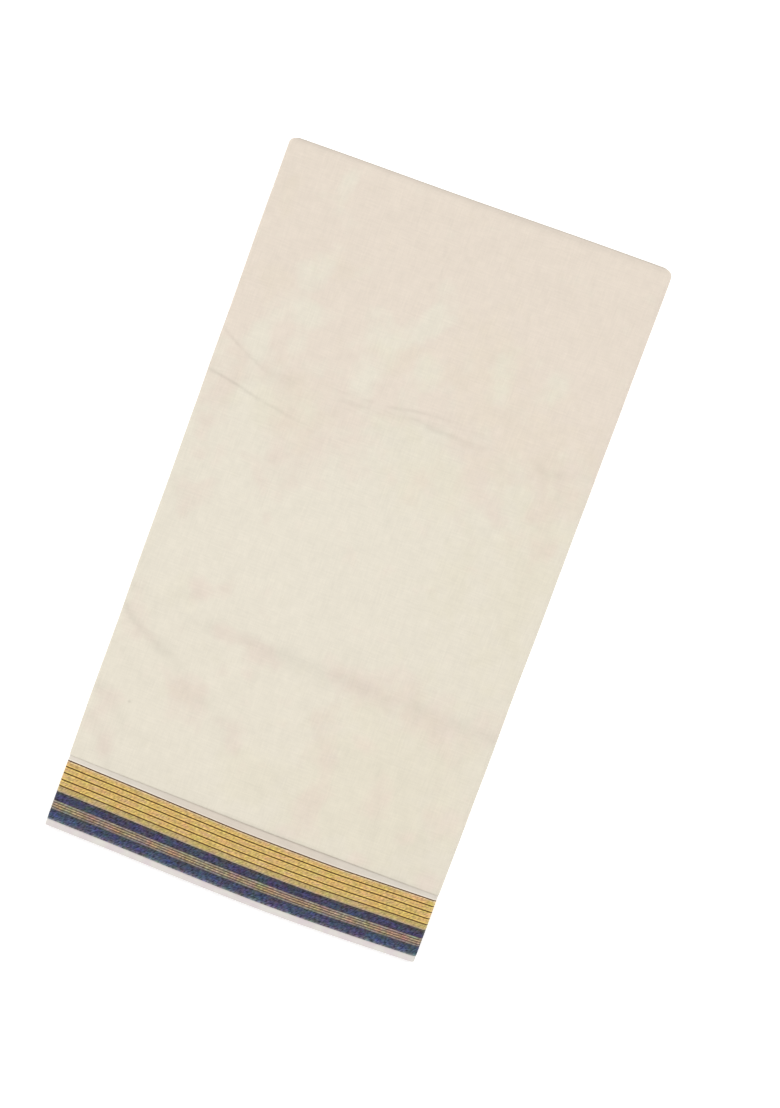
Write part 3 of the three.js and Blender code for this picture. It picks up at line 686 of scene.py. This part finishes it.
def settled(x, y, z):
    """X and Z once the plies sag, bunch and stray inside the stack, and the passes above each point."""
    pitch = stack_height(y) / PASSES
    under = (stack_height(y) - z) / pitch
    inward = np.minimum(x - left_side(y), right_side(y) - x)
    inward = np.minimum(inward, np.minimum(top_line(0.5) - y, y - hem_line(0.5)))
    sag = INNER_SAG * smooth_step(inward, 4, 14) * smooth_step(under, 0.4, 0.7) * (1 - under / PASSES)
    loose = np.sin(math.pi * np.clip(under / PASSES, 0, 1)) ** 0.5
    bunch = np.sin(2 * math.pi * under / BUNCH_PASSES + x / 47 + y / 83)
    stray = np.sin(2 * math.pi * under / 4.3 + y / 61 + 1.7)
    stray = stray + 0.6 * np.sin(2 * math.pi * under / 9.1 - y / 23)
    outward = np.where(inward < STRAY_REACH, np.where(x > 0, -0.6, 0.6), 0)
    x = x + SIDE_STRAY * loose * stray * outward * smooth_step(STRAY_REACH - inward, 0, STRAY_REACH)
    return x, z + BUNCHING * pitch * loose * bunch - sag, under


def surface(rows, columns):
    """The middle surface of the cloth: one point for each row and column, in millimetres."""
    y = line_places(rows, columns)
    x, z = stacked(rows, columns, y)
    x, z, under = settled(x, y, z)
    lift = by_row(rows, "lift") * HEM_LIFT(by_column(columns, "across"))
    relief = creased(x, y)[0] * np.clip(1 - under / RELIEF_PASSES, 0, 1)
    return np.stack([x, y, z + lift + relief], axis=-1)


def unit_normals(points):
    """Normals of a grid of points, facing the outer side of the ribbon."""
    along_row = np.gradient(points, axis=1)
    along_column = np.gradient(points, axis=0)
    normals = np.cross(along_row, along_column)
    return normals / np.maximum(np.linalg.norm(normals, axis=-1, keepdims=True), 1e-9)


def shell(points):
    """Vertices and quads of a closed wall, as thick as the cloth, round a grid of middle points."""
    rows, columns = points.shape[:2]
    normals = unit_normals(points)
    outer = (points + normals * CLOTH_THICKNESS / 2).reshape(-1, 3)
    inner = (points - normals * CLOTH_THICKNESS / 2).reshape(-1, 3)
    index = np.arange(rows * columns).reshape(rows, columns)
    a, b, c, d = index[:-1, :-1], index[:-1, 1:], index[1:, 1:], index[1:, :-1]
    front = np.stack([a, b, c, d], -1).reshape(-1, 4)
    back = front[:, ::-1] + rows * columns
    rim = np.concatenate([index[0, :], index[1:, -1], index[-1, -2::-1], index[-2:0:-1, 0]])
    after = np.roll(rim, -1)
    walls = np.stack([after, rim, rim + rows * columns, after + rows * columns], -1)
    return np.concatenate([outer, inner]), np.concatenate([front, back, walls])


def cloth_places(points, rows, columns):
    """Each point's place in the flat cloth, in metres: along it (X on the top ply) and across its width."""
    steps = np.linalg.norm(np.diff(points, axis=1), axis=-1).mean(axis=0)
    along = np.concatenate([[0], np.cumsum(steps)])
    anchor = next((i for i, column in enumerate(columns) if column["passes"] == (0, 0)), 0)
    along += points[:, anchor, 0].mean() - along[anchor]
    woven = np.array([row_["woven"] for row_ in rows])
    grid = np.stack(np.broadcast_arrays(along[None, :], woven[:, None]), -1)
    return grid.reshape(-1, 2) * MM


# The marks fade out between these distances from the stack's top.
MARKS_END = (-3.5, -2.5)


def add_marks(mesh, points):
    """Keeps the top ply's painted shade at creases and in spots, with a dirt speck, and its patches of colour
    with its points, for the material to read.
    """
    x, y, z = points.T
    on_top = smooth_step(z - stack_height(y), *MARKS_END)
    shade_and_soil = creased(x, y)[1] * CREASE_SHADE + spots(SHADE_AND_SOIL_SPOTS, x, y)
    for key, marks in (("shade_and_soil", shade_and_soil), ("rosy", spots(PATCHES, x, y)), ("straw", spots(STRAW, x, y))):
        values = (marks * on_top).astype(np.float32)
        mesh.attributes.new(key, "FLOAT", "POINT").data.foreach_set("value", values)


def cloth_mesh(name, parts):
    """A mesh from strips of cloth, each a list of rows and a list of columns."""
    vertices, faces, places = [], [], []
    count = 0
    for rows, columns in parts:
        points = surface(rows, columns)
        new_vertices, new_faces = shell(points)
        vertices.append(new_vertices * MM)
        faces.append(new_faces + count)
        places += [cloth_places(points, rows, columns)] * 2
        count += len(new_vertices)
    faces = np.concatenate(faces)
    mesh = bpy.data.meshes.new(name)
    mesh.from_pydata(np.concatenate(vertices).tolist(), [], faces.tolist())
    layer = mesh.uv_layers.new(name="cloth")
    layer.uv.foreach_set("vector", np.concatenate(places)[faces.ravel()].astype(np.float32).ravel())
    mesh.polygons.foreach_set("use_smooth", np.ones(len(faces), bool))
    return mesh, np.concatenate(vertices)


SHARP_ANGLE = math.radians(50)


def cloth_piece(name, parts, slot, replaced):
    """One piece of the saree, with its material. The CAD part that it stands for is hidden."""
    mesh, vertices = cloth_mesh(name, parts)
    if slot == "cream_cotton":
        add_marks(mesh, vertices / MM)
    mesh.set_sharp_from_angle(angle=SHARP_ANGLE)
    mesh.materials.append(MATERIALS[slot])
    piece = bpy.data.objects.new(name, mesh)
    bpy.context.scene.collection.objects.link(piece)
    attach(piece, "root")
    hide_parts(replaced)
    return piece


# ---- Materials ----


class Shading:
    """A material's node tree, built step by step."""

    def __init__(self, name):
        self.material = bpy.data.materials.new(name)
        self.material.use_nodes = True
        self.tree = self.material.node_tree
        self.shader = self.tree.nodes["Principled BSDF"]

    def feed(self, socket, value):
        """Links a socket's value to the socket, or sets a constant there."""
        if isinstance(value, bpy.types.NodeSocket):
            self.tree.links.new(value, socket)
        else:
            socket.default_value = value

    def set(self, **values):
        for key, value in values.items():
            self.feed(self.shader.inputs[key.replace("_", " ")], value)

    def node(self, kind, inputs, **settings):
        made = self.tree.nodes.new(kind)
        for key, value in settings.items():
            setattr(made, key, value)
        for key, value in inputs.items():
            self.feed(made.inputs[key], value)
        return made

    def math(self, operation, first, second=0.0, third=0.0):
        inputs = {0: first, 1: second, 2: third}
        return self.node("ShaderNodeMath", inputs, operation=operation).outputs[0]

    def times(self, first, second):
        return self.math("MULTIPLY", first, second)

    def plus(self, first, second):
        return self.math("ADD", first, second)

    def mix(self, factor, first, second, blend="MIX"):
        colours = {0: factor, 6: first, 7: second}
        return self.node("ShaderNodeMix", colours, data_type="RGBA", blend_type=blend).outputs[2]

    def filtered(self, colour, other):
        return self.mix(1.0, colour, other, "MULTIPLY")

    def weighted(self, colour, red, green, blue):
        """The colour, with the light of each primary multiplied."""
        weights = self.node("ShaderNodeCombineColor", {0: red, 1: green, 2: blue}).outputs[0]
        return self.filtered(colour, weights)

    def shaded(self, colour, shade):
        return self.weighted(colour, shade, shade, shade)

    def ramp(self, value, low, high, to_low, to_high):
        """The value taken from one range to another, and kept inside it."""
        inputs = {0: value, 1: low, 2: high, 3: to_low, 4: to_high}
        return self.node("ShaderNodeMapRange", inputs).outputs[0]


class Cloth(Shading):
    """The shading of a cloth, by its place in the flat cloth, in metres: along the ribbon and across it."""

    def __init__(self, name):
        super().__init__(name)
        self.place = self.node("ShaderNodeUVMap", {}, uv_map="cloth").outputs[0]
        self.along, self.across = self.node("ShaderNodeSeparateXYZ", {0: self.place}).outputs[:2]

    def mark(self, name):
        """What the mesh keeps for each point under this name."""
        return self.node("ShaderNodeAttribute", {}, attribute_name=name).outputs["Fac"]

    def noise(self, along, across, detail=2.0, place=None):
        """Noise of so many cycles a metre along the ribbon and across it."""
        inputs = {0: place or self.place, 1: (along, across, 1.0)}
        scaled = self.node("ShaderNodeVectorMath", inputs, operation="MULTIPLY").outputs[0]
        return self.node("ShaderNodeTexNoise", {"Vector": scaled, "Scale": 1.0, "Detail": detail})

    def streaks(self, *noise, **more):
        return self.noise(*noise, **more).outputs[0]

    def varied(self, noise, amount, low=0.3, high=0.7):
        """1, give or take the amount, as the noise goes from low to high."""
        return self.ramp(noise, low, high, 1 - amount, 1 + amount)

    def patches(self, along, across):
        """Patches of 0 and 1 with soft edges, of so many cycles a metre."""
        return self.ramp(self.streaks(along, across, 3), 0.38, 0.62, 0.0, 1.0)

    def tinted(self, colour, cycles, amount):
        """The colour, with patches of every tint, of so many cycles a metre."""
        tints = self.mix(amount, (0.5, 0.5, 0.5, 1), self.noise(cycles, cycles).outputs["Color"])
        return self.filtered(colour, self.filtered(tints, (2.0, 2.0, 2.0, 1)))

    def blued(self, colour, amount):
        """The colour, with stretches along the yarns where the blue is stronger or weaker."""
        return self.weighted(colour, 1.0, 1.0, self.varied(self.streaks(90, 220), amount))

    def ragged(self, spread, cycles):
        """Patches with ragged edges where the spread is high, from noise of so many cycles a metre."""
        noise = self.math("MULTIPLY_ADD", self.streaks(cycles, cycles * 0.9, 6), 2.0, -1.0)
        return self.ramp(self.plus(spread, noise), 0.2, 0.8, 0.0, 1.0)

    def hump(self, rise, fall, height):
        """A hump across the cloth: rise and fall are the ranges, in millimetres, of its two slopes."""
        up = self.ramp(self.across, rise[0] * MM, rise[1] * MM, 0.0, height)
        return self.times(up, self.ramp(self.across, fall[0] * MM, fall[1] * MM, 1.0, 0.0))

    def painted_glints(self, amount):
        """Slanting light and dark strokes, a few yarns long, as on a twill: painted glints in the colour."""
        slant = {0: self.place, "Angle": math.radians(42)}
        turned = self.node("ShaderNodeVectorRotate", slant, rotation_type="Z_AXIS").outputs[0]
        return self.varied(self.streaks(320, 900, place=turned), amount)

    def woven(self, colour, shade, pitch, strength, extra=None, **values):
        """Finishes the material as a plain weave: warp and weft pass over each other, thread by thread."""
        turn = math.pi / (pitch * MM)
        warp, weft = (self.math("SINE", self.times(place, turn)) for place in (self.along, self.across))
        height = self.times(warp, weft)
        if extra is not None:
            height = self.plus(height, extra)
        bump = self.node("ShaderNodeBump", {"Strength": strength, "Distance": 0.05 * MM, "Height": height})
        self.set(Base_Color=self.shaded(colour, shade), Normal=bump.outputs[0], **values)
        return self.material


def linear(value):
    """A display value of 0 to 255, as the shader wants it."""
    value /= 255
    return value / 12.92 if value <= 0.04045 else ((value + 0.055) / 1.055) ** 2.4


LIGHT_LEVEL = 1.045


def cloth_colour(*primaries):
    """The cloth's own colour, from display values that it is to show under LIGHT_LEVEL of light."""
    return tuple(linear(value) / LIGHT_LEVEL for value in primaries) + (1.0,)


# The top fold is painted a little darker, as painted shade on its rounded edge: how much darker it is, and
# over how many millimetres that fades.
FOLD_SHADE = [(0.36, 1.4), (0.035, 5.0)]


def cream_cotton():
    """Unbleached cotton: cream, rosier towards the top fold and in patches, with painted shade towards the
    right and the bottom, at creases and in soft hollows.
    """
    s = Cloth("cream_cotton")
    rosy = s.ragged(s.plus(s.ramp(s.across, 0.026, 0.156, 0.0, 1.0), s.mark("rosy")), 46)
    straw = s.ragged(s.mark("straw"), 58)
    # Darker towards the right and the bottom: painted shade.
    grey = s.plus(s.ramp(s.along, -0.02, 0.15, 0.0, 0.5), s.ramp(s.across, -0.07, -0.14, 0.0, 0.4))
    ground = s.mix(grey, cloth_colour(232.3, 225.2, 209.4), cloth_colour(229.2, 221.6, 204.9))
    base = s.mix(rosy, ground, cloth_colour(231.3, 219.3, 204.9))
    base = s.mix(straw, base, s.filtered(base, (0.993, 0.993, 0.971, 1)))
    slub = s.plus(s.streaks(1700, 26), s.streaks(31, 1700))
    yarn = s.plus(s.streaks(620, 70, 3), s.streaks(80, 620, 3))
    cloud = s.plus(s.streaks(150, 120, 3), s.streaks(52, 44))
    shade = s.times(s.varied(slub, 0.02, 0.7, 1.3), s.varied(cloud, 0.022, 0.7, 1.3))
    shade = s.times(shade, s.varied(yarn, 0.03, 0.7, 1.3))
    # Painted shade along the top fold.
    fold_distance = s.math("ABSOLUTE", s.math("SUBTRACT", s.across, (MIDDLE_TOP + 0.5) * MM))
    for amount, reach in FOLD_SHADE:
        fold_shade = s.math("EXPONENT", s.times(fold_distance, -1 / (reach * MM)))
        shade = s.times(shade, s.math("MULTIPLY_ADD", fold_shade, -amount, 1.0))
    # Painted shade of the creases and the darker spots, with a dirt speck, taken off the cotton's shade.
    shade = s.math("SUBTRACT", shade, s.mark("shade_and_soil"))
    finish = dict(Roughness=0.92, Specular_IOR_Level=0.2, Sheen_Weight=0.08, Sheen_Roughness=0.5)
    return s.woven(base, shade, 0.32, 0.35, s.times(slub, 1.5), **finish)


def pale_cotton():
    """The cotton beside the gold, and the whiter selvedge, with a faint rib and a pink and green cast."""
    s = Cloth("pale_cotton")
    weft = s.streaks(12, 1600)
    cloud = s.streaks(70, 90, 3)
    shade = s.times(s.varied(weft, 0.03), s.varied(cloud, 0.03))
    beside_gold = s.hump((-1.6, -0.9), (-0.4, 0.4), 0.2)
    beside_navy = s.hump((50.5, 51.0), (51.0, 52.4), -0.17)
    shade = s.times(shade, s.plus(s.plus(beside_gold, beside_navy), 1.0))
    green = s.ramp(cloud, 0.4, 0.6, 0.0, 1.0)
    edge = s.mix(green, cloth_colour(224, 213, 214), cloth_colour(225, 221, 214))
    cool = s.ramp(s.math("ABSOLUTE", s.along), 0.05, 0.11, 0.0, 1.0)
    ground = s.mix(cool, cloth_colour(221.5, 210.5, 197), cloth_colour(223, 215, 203))
    colour = s.mix(s.ramp(s.across, 0.0, 0.05, 0.0, 1.0), ground, edge)
    finish = dict(Roughness=0.9, Specular_IOR_Level=0.2, Sheen_Weight=0.08, Sheen_Roughness=0.5)
    return s.woven(colour, shade, 0.32, 0.4, **finish)


BLEND_WIDTH = 0.12


def stripe_ramp(s, distance, stripes, width):
    """Colours across a band: stripes is (from, to, colour) in millimetres, in order, blended in between."""
    stops = []
    for start, end, colour in stripes:
        stops.append((start + BLEND_WIDTH / 2, colour))
        if end - start > BLEND_WIDTH:
            stops.append((end - BLEND_WIDTH / 2, colour))
    ramp = s.node("ShaderNodeValToRGB", {0: s.times(distance, 1 / (width * MM))})
    elements = ramp.color_ramp.elements
    while len(elements) > 1:
        elements.remove(elements[-1])
    for index, (place, colour) in enumerate(stops):
        position = min(max(place / width, 0.0), 1.0)
        element = elements.new(position) if index else elements[0]
        element.position = position
        element.color = colour
    return ramp.outputs[0]


GOLD_LINES = (0.0, 5.3, 10.6, 16.6, 21.9)
LINE_WIDTH = 0.85

# How far from a dark line's edge the yarn beside it is brightest, and where the stripe's own gold begins.
BRIGHTEST = 0.45
PLAIN = 1.2


def gold_zari():
    """Gold zari: five stripes of metal-wrapped yarn parted by thin dark lines, the last one duller."""
    s = Cloth("gold_zari")
    wobble = s.math("MULTIPLY_ADD", s.streaks(60, 30), 0.3 * MM, -0.15 * MM)
    distance = s.plus(s.across, wobble)
    bright = cloth_colour(250, 215, 119)
    dark = cloth_colour(89, 52, 0)
    grey = cloth_colour(180, 160, 136)
    beside_ground = cloth_colour(240, 214, 166)
    half = LINE_WIDTH / 2

    def stripes(gold, dull):
        made = []
        for line, after in zip(GOLD_LINES[:-1], GOLD_LINES[1:]):
            first, last = line + half, after - half
            made.append((line - half, first, dark))
            made.append((first + BRIGHTEST, first + BRIGHTEST, bright if line else beside_ground))
            made.append((first + PLAIN, last - PLAIN, gold))
            made.append((last - BRIGHTEST, last - BRIGHTEST, bright))
        last, end = GOLD_LINES[-1], BAND_ENDS["gold"]
        made += [(last - half, last + half, dark), (last + half + 0.2, end - 1.6, dull), (end, end, grey)]
        return stripe_ramp(s, distance, made, end)

    orange = stripes(cloth_colour(217, 177, 121), cloth_colour(200, 171, 121))
    yellow = stripes(cloth_colour(210, 178, 102), cloth_colour(194, 171, 102))
    patches = s.patches(70, 75)
    # Fine painted glints of the metal yarn; the same noise also gives the yarn's bump.
    glint_and_bump = s.streaks(420, 1300)
    shade = s.times(s.varied(glint_and_bump, 0.1), s.painted_glints(0.36))
    colour = s.tinted(s.mix(patches, orange, yellow), 120, 0.16)
    return s.woven(colour, shade, 0.3, 0.4, s.times(glint_and_bump, 1.2), Roughness=0.5, Metallic=0.25)


# How the navy bands change across their width: from, to, and the light of each primary against plain navy's.
# They are warmer beside a light band, and paler towards the selvedge.
NAVY_TONES = [
    (27.0, 28.3, (1.15, 1.0, 0.6)),
    (29.8, 33.0, (1.0, 1.0, 1.0)),
    (34.4, 42.7, (1.1, 1.0, 0.8)),
    (44.5, 44.9, (1.0, 1.0, 1.0)),
    (46.4, 47.4, (1.12, 1.17, 1.2)),
    (49.0, 49.0, (1.45, 1.4, 1.17)),
    (50.0, 50.0, (2.4, 2.2, 1.5)),
    (51.0, 51.0, (3.6, 3.2, 2.0)),
]

# A ramp's colours are kept within 1, so the tones go through it divided by this.
TONE_RANGE = 4.0


def navy_cotton():
    """Navy cotton, in places bluer and in places nearer purple, with the weft's fine streaks."""
    s = Cloth("navy_cotton")
    drift = s.ramp(s.streaks(65, 70, 3), 0.38, 0.62, -0.6, 0.6)
    bluer = s.node("ShaderNodeClamp", {0: s.plus(drift, s.ramp(s.across, 0.033, 0.043, 0.3, 0.7))}).outputs[0]
    base = s.mix(bluer, cloth_colour(67, 64, 91), cloth_colour(62, 72, 94))
    yarn = s.plus(s.streaks(300, 1500), s.streaks(25, 1500))
    shade = s.times(s.varied(yarn, 0.31, 0.7, 1.3), s.painted_glints(0.75))
    base = s.tinted(s.tinted(base, 120, 0.38), 480, 0.4)
    base = s.blued(base, 0.3)
    tones = [(start, end, tuple(x / TONE_RANGE for x in tone) + (1.0,)) for start, end, tone in NAVY_TONES]
    base = s.filtered(base, stripe_ramp(s, s.across, tones, BAND_ENDS["navy_outer"]))
    base = s.filtered(base, (TONE_RANGE, TONE_RANGE, TONE_RANGE, 1))
    finish = dict(Roughness=0.85, Specular_IOR_Level=0.25, Sheen_Weight=0.05, Sheen_Roughness=0.5)
    return s.woven(base, shade, 0.3, 0.4, **finish)


FINE_LINES = (0.85, 2.85, 4.8, 6.8)
FINE_LINE_WIDTH = 0.95


def fine_stripes():
    """Four light yarn lines on a dark ground: pale and dim at the band's two edges, gold between."""
    s = Cloth("fine_stripes")
    start = BAND_ENDS["navy_inner"]
    width = BAND_ENDS["fine_stripes"] - start
    distance = s.math("SUBTRACT", s.across, start * MM)
    pale = cloth_colour(160, 151, 140)
    dim = cloth_colour(139, 132, 127)
    half = FINE_LINE_WIDTH / 2

    def stripes(gold, ground):
        made = []
        for middle, colour in zip(FINE_LINES, (pale, gold, gold, dim)):
            before = made[-1][1] if made else 0.0
            made.append((before, middle - half, ground))
            made.append((middle - half, middle + half, colour))
        made.append((made[-1][1], width, ground))
        return stripe_ramp(s, distance, made, width)

    warm = stripes(cloth_colour(184, 156, 133), cloth_colour(110, 88, 78))
    olive = stripes(cloth_colour(176, 157, 124), cloth_colour(102, 88, 70))
    patches = s.patches(60, 75)
    weft = s.streaks(160, 1500)
    shade = s.times(s.varied(weft, 0.12), s.painted_glints(0.5))
    colour = s.tinted(s.mix(patches, warm, olive), 110, 0.45)
    return s.woven(colour, shade, 0.3, 0.4, Roughness=0.75, Specular_IOR_Level=0.25)


# ---- The saree ----

MAKERS = (cream_cotton, pale_cotton, gold_zari, navy_cotton, fine_stripes)
MATERIALS = {maker.__name__: maker() for maker in MAKERS}

# The border's bands, from the panel outwards: CAD node, slot, where it ends, and the step between its rows.
BORDER = [
    ("border_ground", "pale_cotton", -LINE_WIDTH / 2, 1.5),
    ("kasavu_band", "gold_zari", BAND_ENDS["gold"], 1.2),
    ("navy_band_inner", "navy_cotton", BAND_ENDS["navy_inner"], 1.2),
    ("fine_stripe_band", "fine_stripes", BAND_ENDS["fine_stripes"], 1.2),
    ("navy_band_outer", "navy_cotton", BAND_ENDS["navy_outer"], 1.2),
    ("selvedge", "pale_cotton", BAND_ENDS["selvedge"], 1.0),
]
HIDDEN_STEP = 8.0


def make_saree():
    outermost, strips = outermost_columns(), hidden_strips()
    shown = [(body_rows(FINE_ROWS, 1.0), outermost)]
    hidden = [(body_rows(COARSE_ROWS, 0.0), strip) for strip in strips]
    body = cloth_piece("body_panel_cloth", shown, "cream_cotton", "body_panel")
    plies = cloth_piece("hidden_plies", hidden, "cream_cotton", "hidden_layers")
    shown_border, hidden_border = [], []
    start = -LOWER_PLY_START
    for node, slot, end, step in BORDER:
        shown = [(border_rows(start, end, step), outermost)]
        hidden = [(border_rows(start, end, HIDDEN_STEP), strip) for strip in strips]
        shown_border.append(cloth_piece(node + "_cloth", shown, slot, node))
        hidden_border.append(cloth_piece("hidden_" + node, hidden, slot, "hidden_layers"))
        start = end


make_saree()

# ---- Floor and light ----

FLOOR_SIZE = 30.0
SURROUND_LIGHT = 0.76
KEY_LIGHT = 1.25
KEY_SPREAD = math.radians(50)
KEY_LEAN = math.radians(42)
KEY_HEADING = math.radians(97)


def make_floor():
    """A floor that glows a little, so that it looks white under the light."""
    mesh = bpy.data.meshes.new("floor")
    half = FLOOR_SIZE / 2
    corners = [(-half, -half, 0), (half, -half, 0), (half, half, 0), (-half, half, 0)]
    mesh.from_pydata(corners, [], [(0, 1, 2, 3)])
    floor = bpy.data.objects.new("floor", mesh)
    s = Shading("floor")
    s.set(Base_Color=(0.9, 0.9, 0.9, 1), Emission_Color=(1, 1, 1, 1), Emission_Strength=0.4)
    s.set(Roughness=1.0, Specular_IOR_Level=0.0)
    mesh.materials.append(s.material)
    bpy.context.scene.collection.objects.link(floor)


def make_light():
    """A soft key from beyond the top fold, in an even white surround."""
    world = bpy.data.worlds.new("surround")
    world.use_nodes = True
    background = world.node_tree.nodes["Background"]
    background.inputs[0].default_value = (1.0, 1.0, 1.0, 1)
    background.inputs[1].default_value = SURROUND_LIGHT
    bpy.context.scene.world = world
    data = bpy.data.lights.new("key", "SUN")
    data.angle = KEY_SPREAD
    data.energy = KEY_LIGHT
    key = bpy.data.objects.new("key", data)
    toward = Vector((math.cos(KEY_HEADING), math.sin(KEY_HEADING), 0)) * math.sin(KEY_LEAN)
    toward.z = math.cos(KEY_LEAN)
    key.rotation_euler = toward.to_track_quat("Z", "Y").to_euler()
    bpy.context.scene.collection.objects.link(key)


make_floor()
make_light()
bpy.context.scene.view_settings.view_transform = "Standard"
bpy.context.scene.view_settings.look = "None"
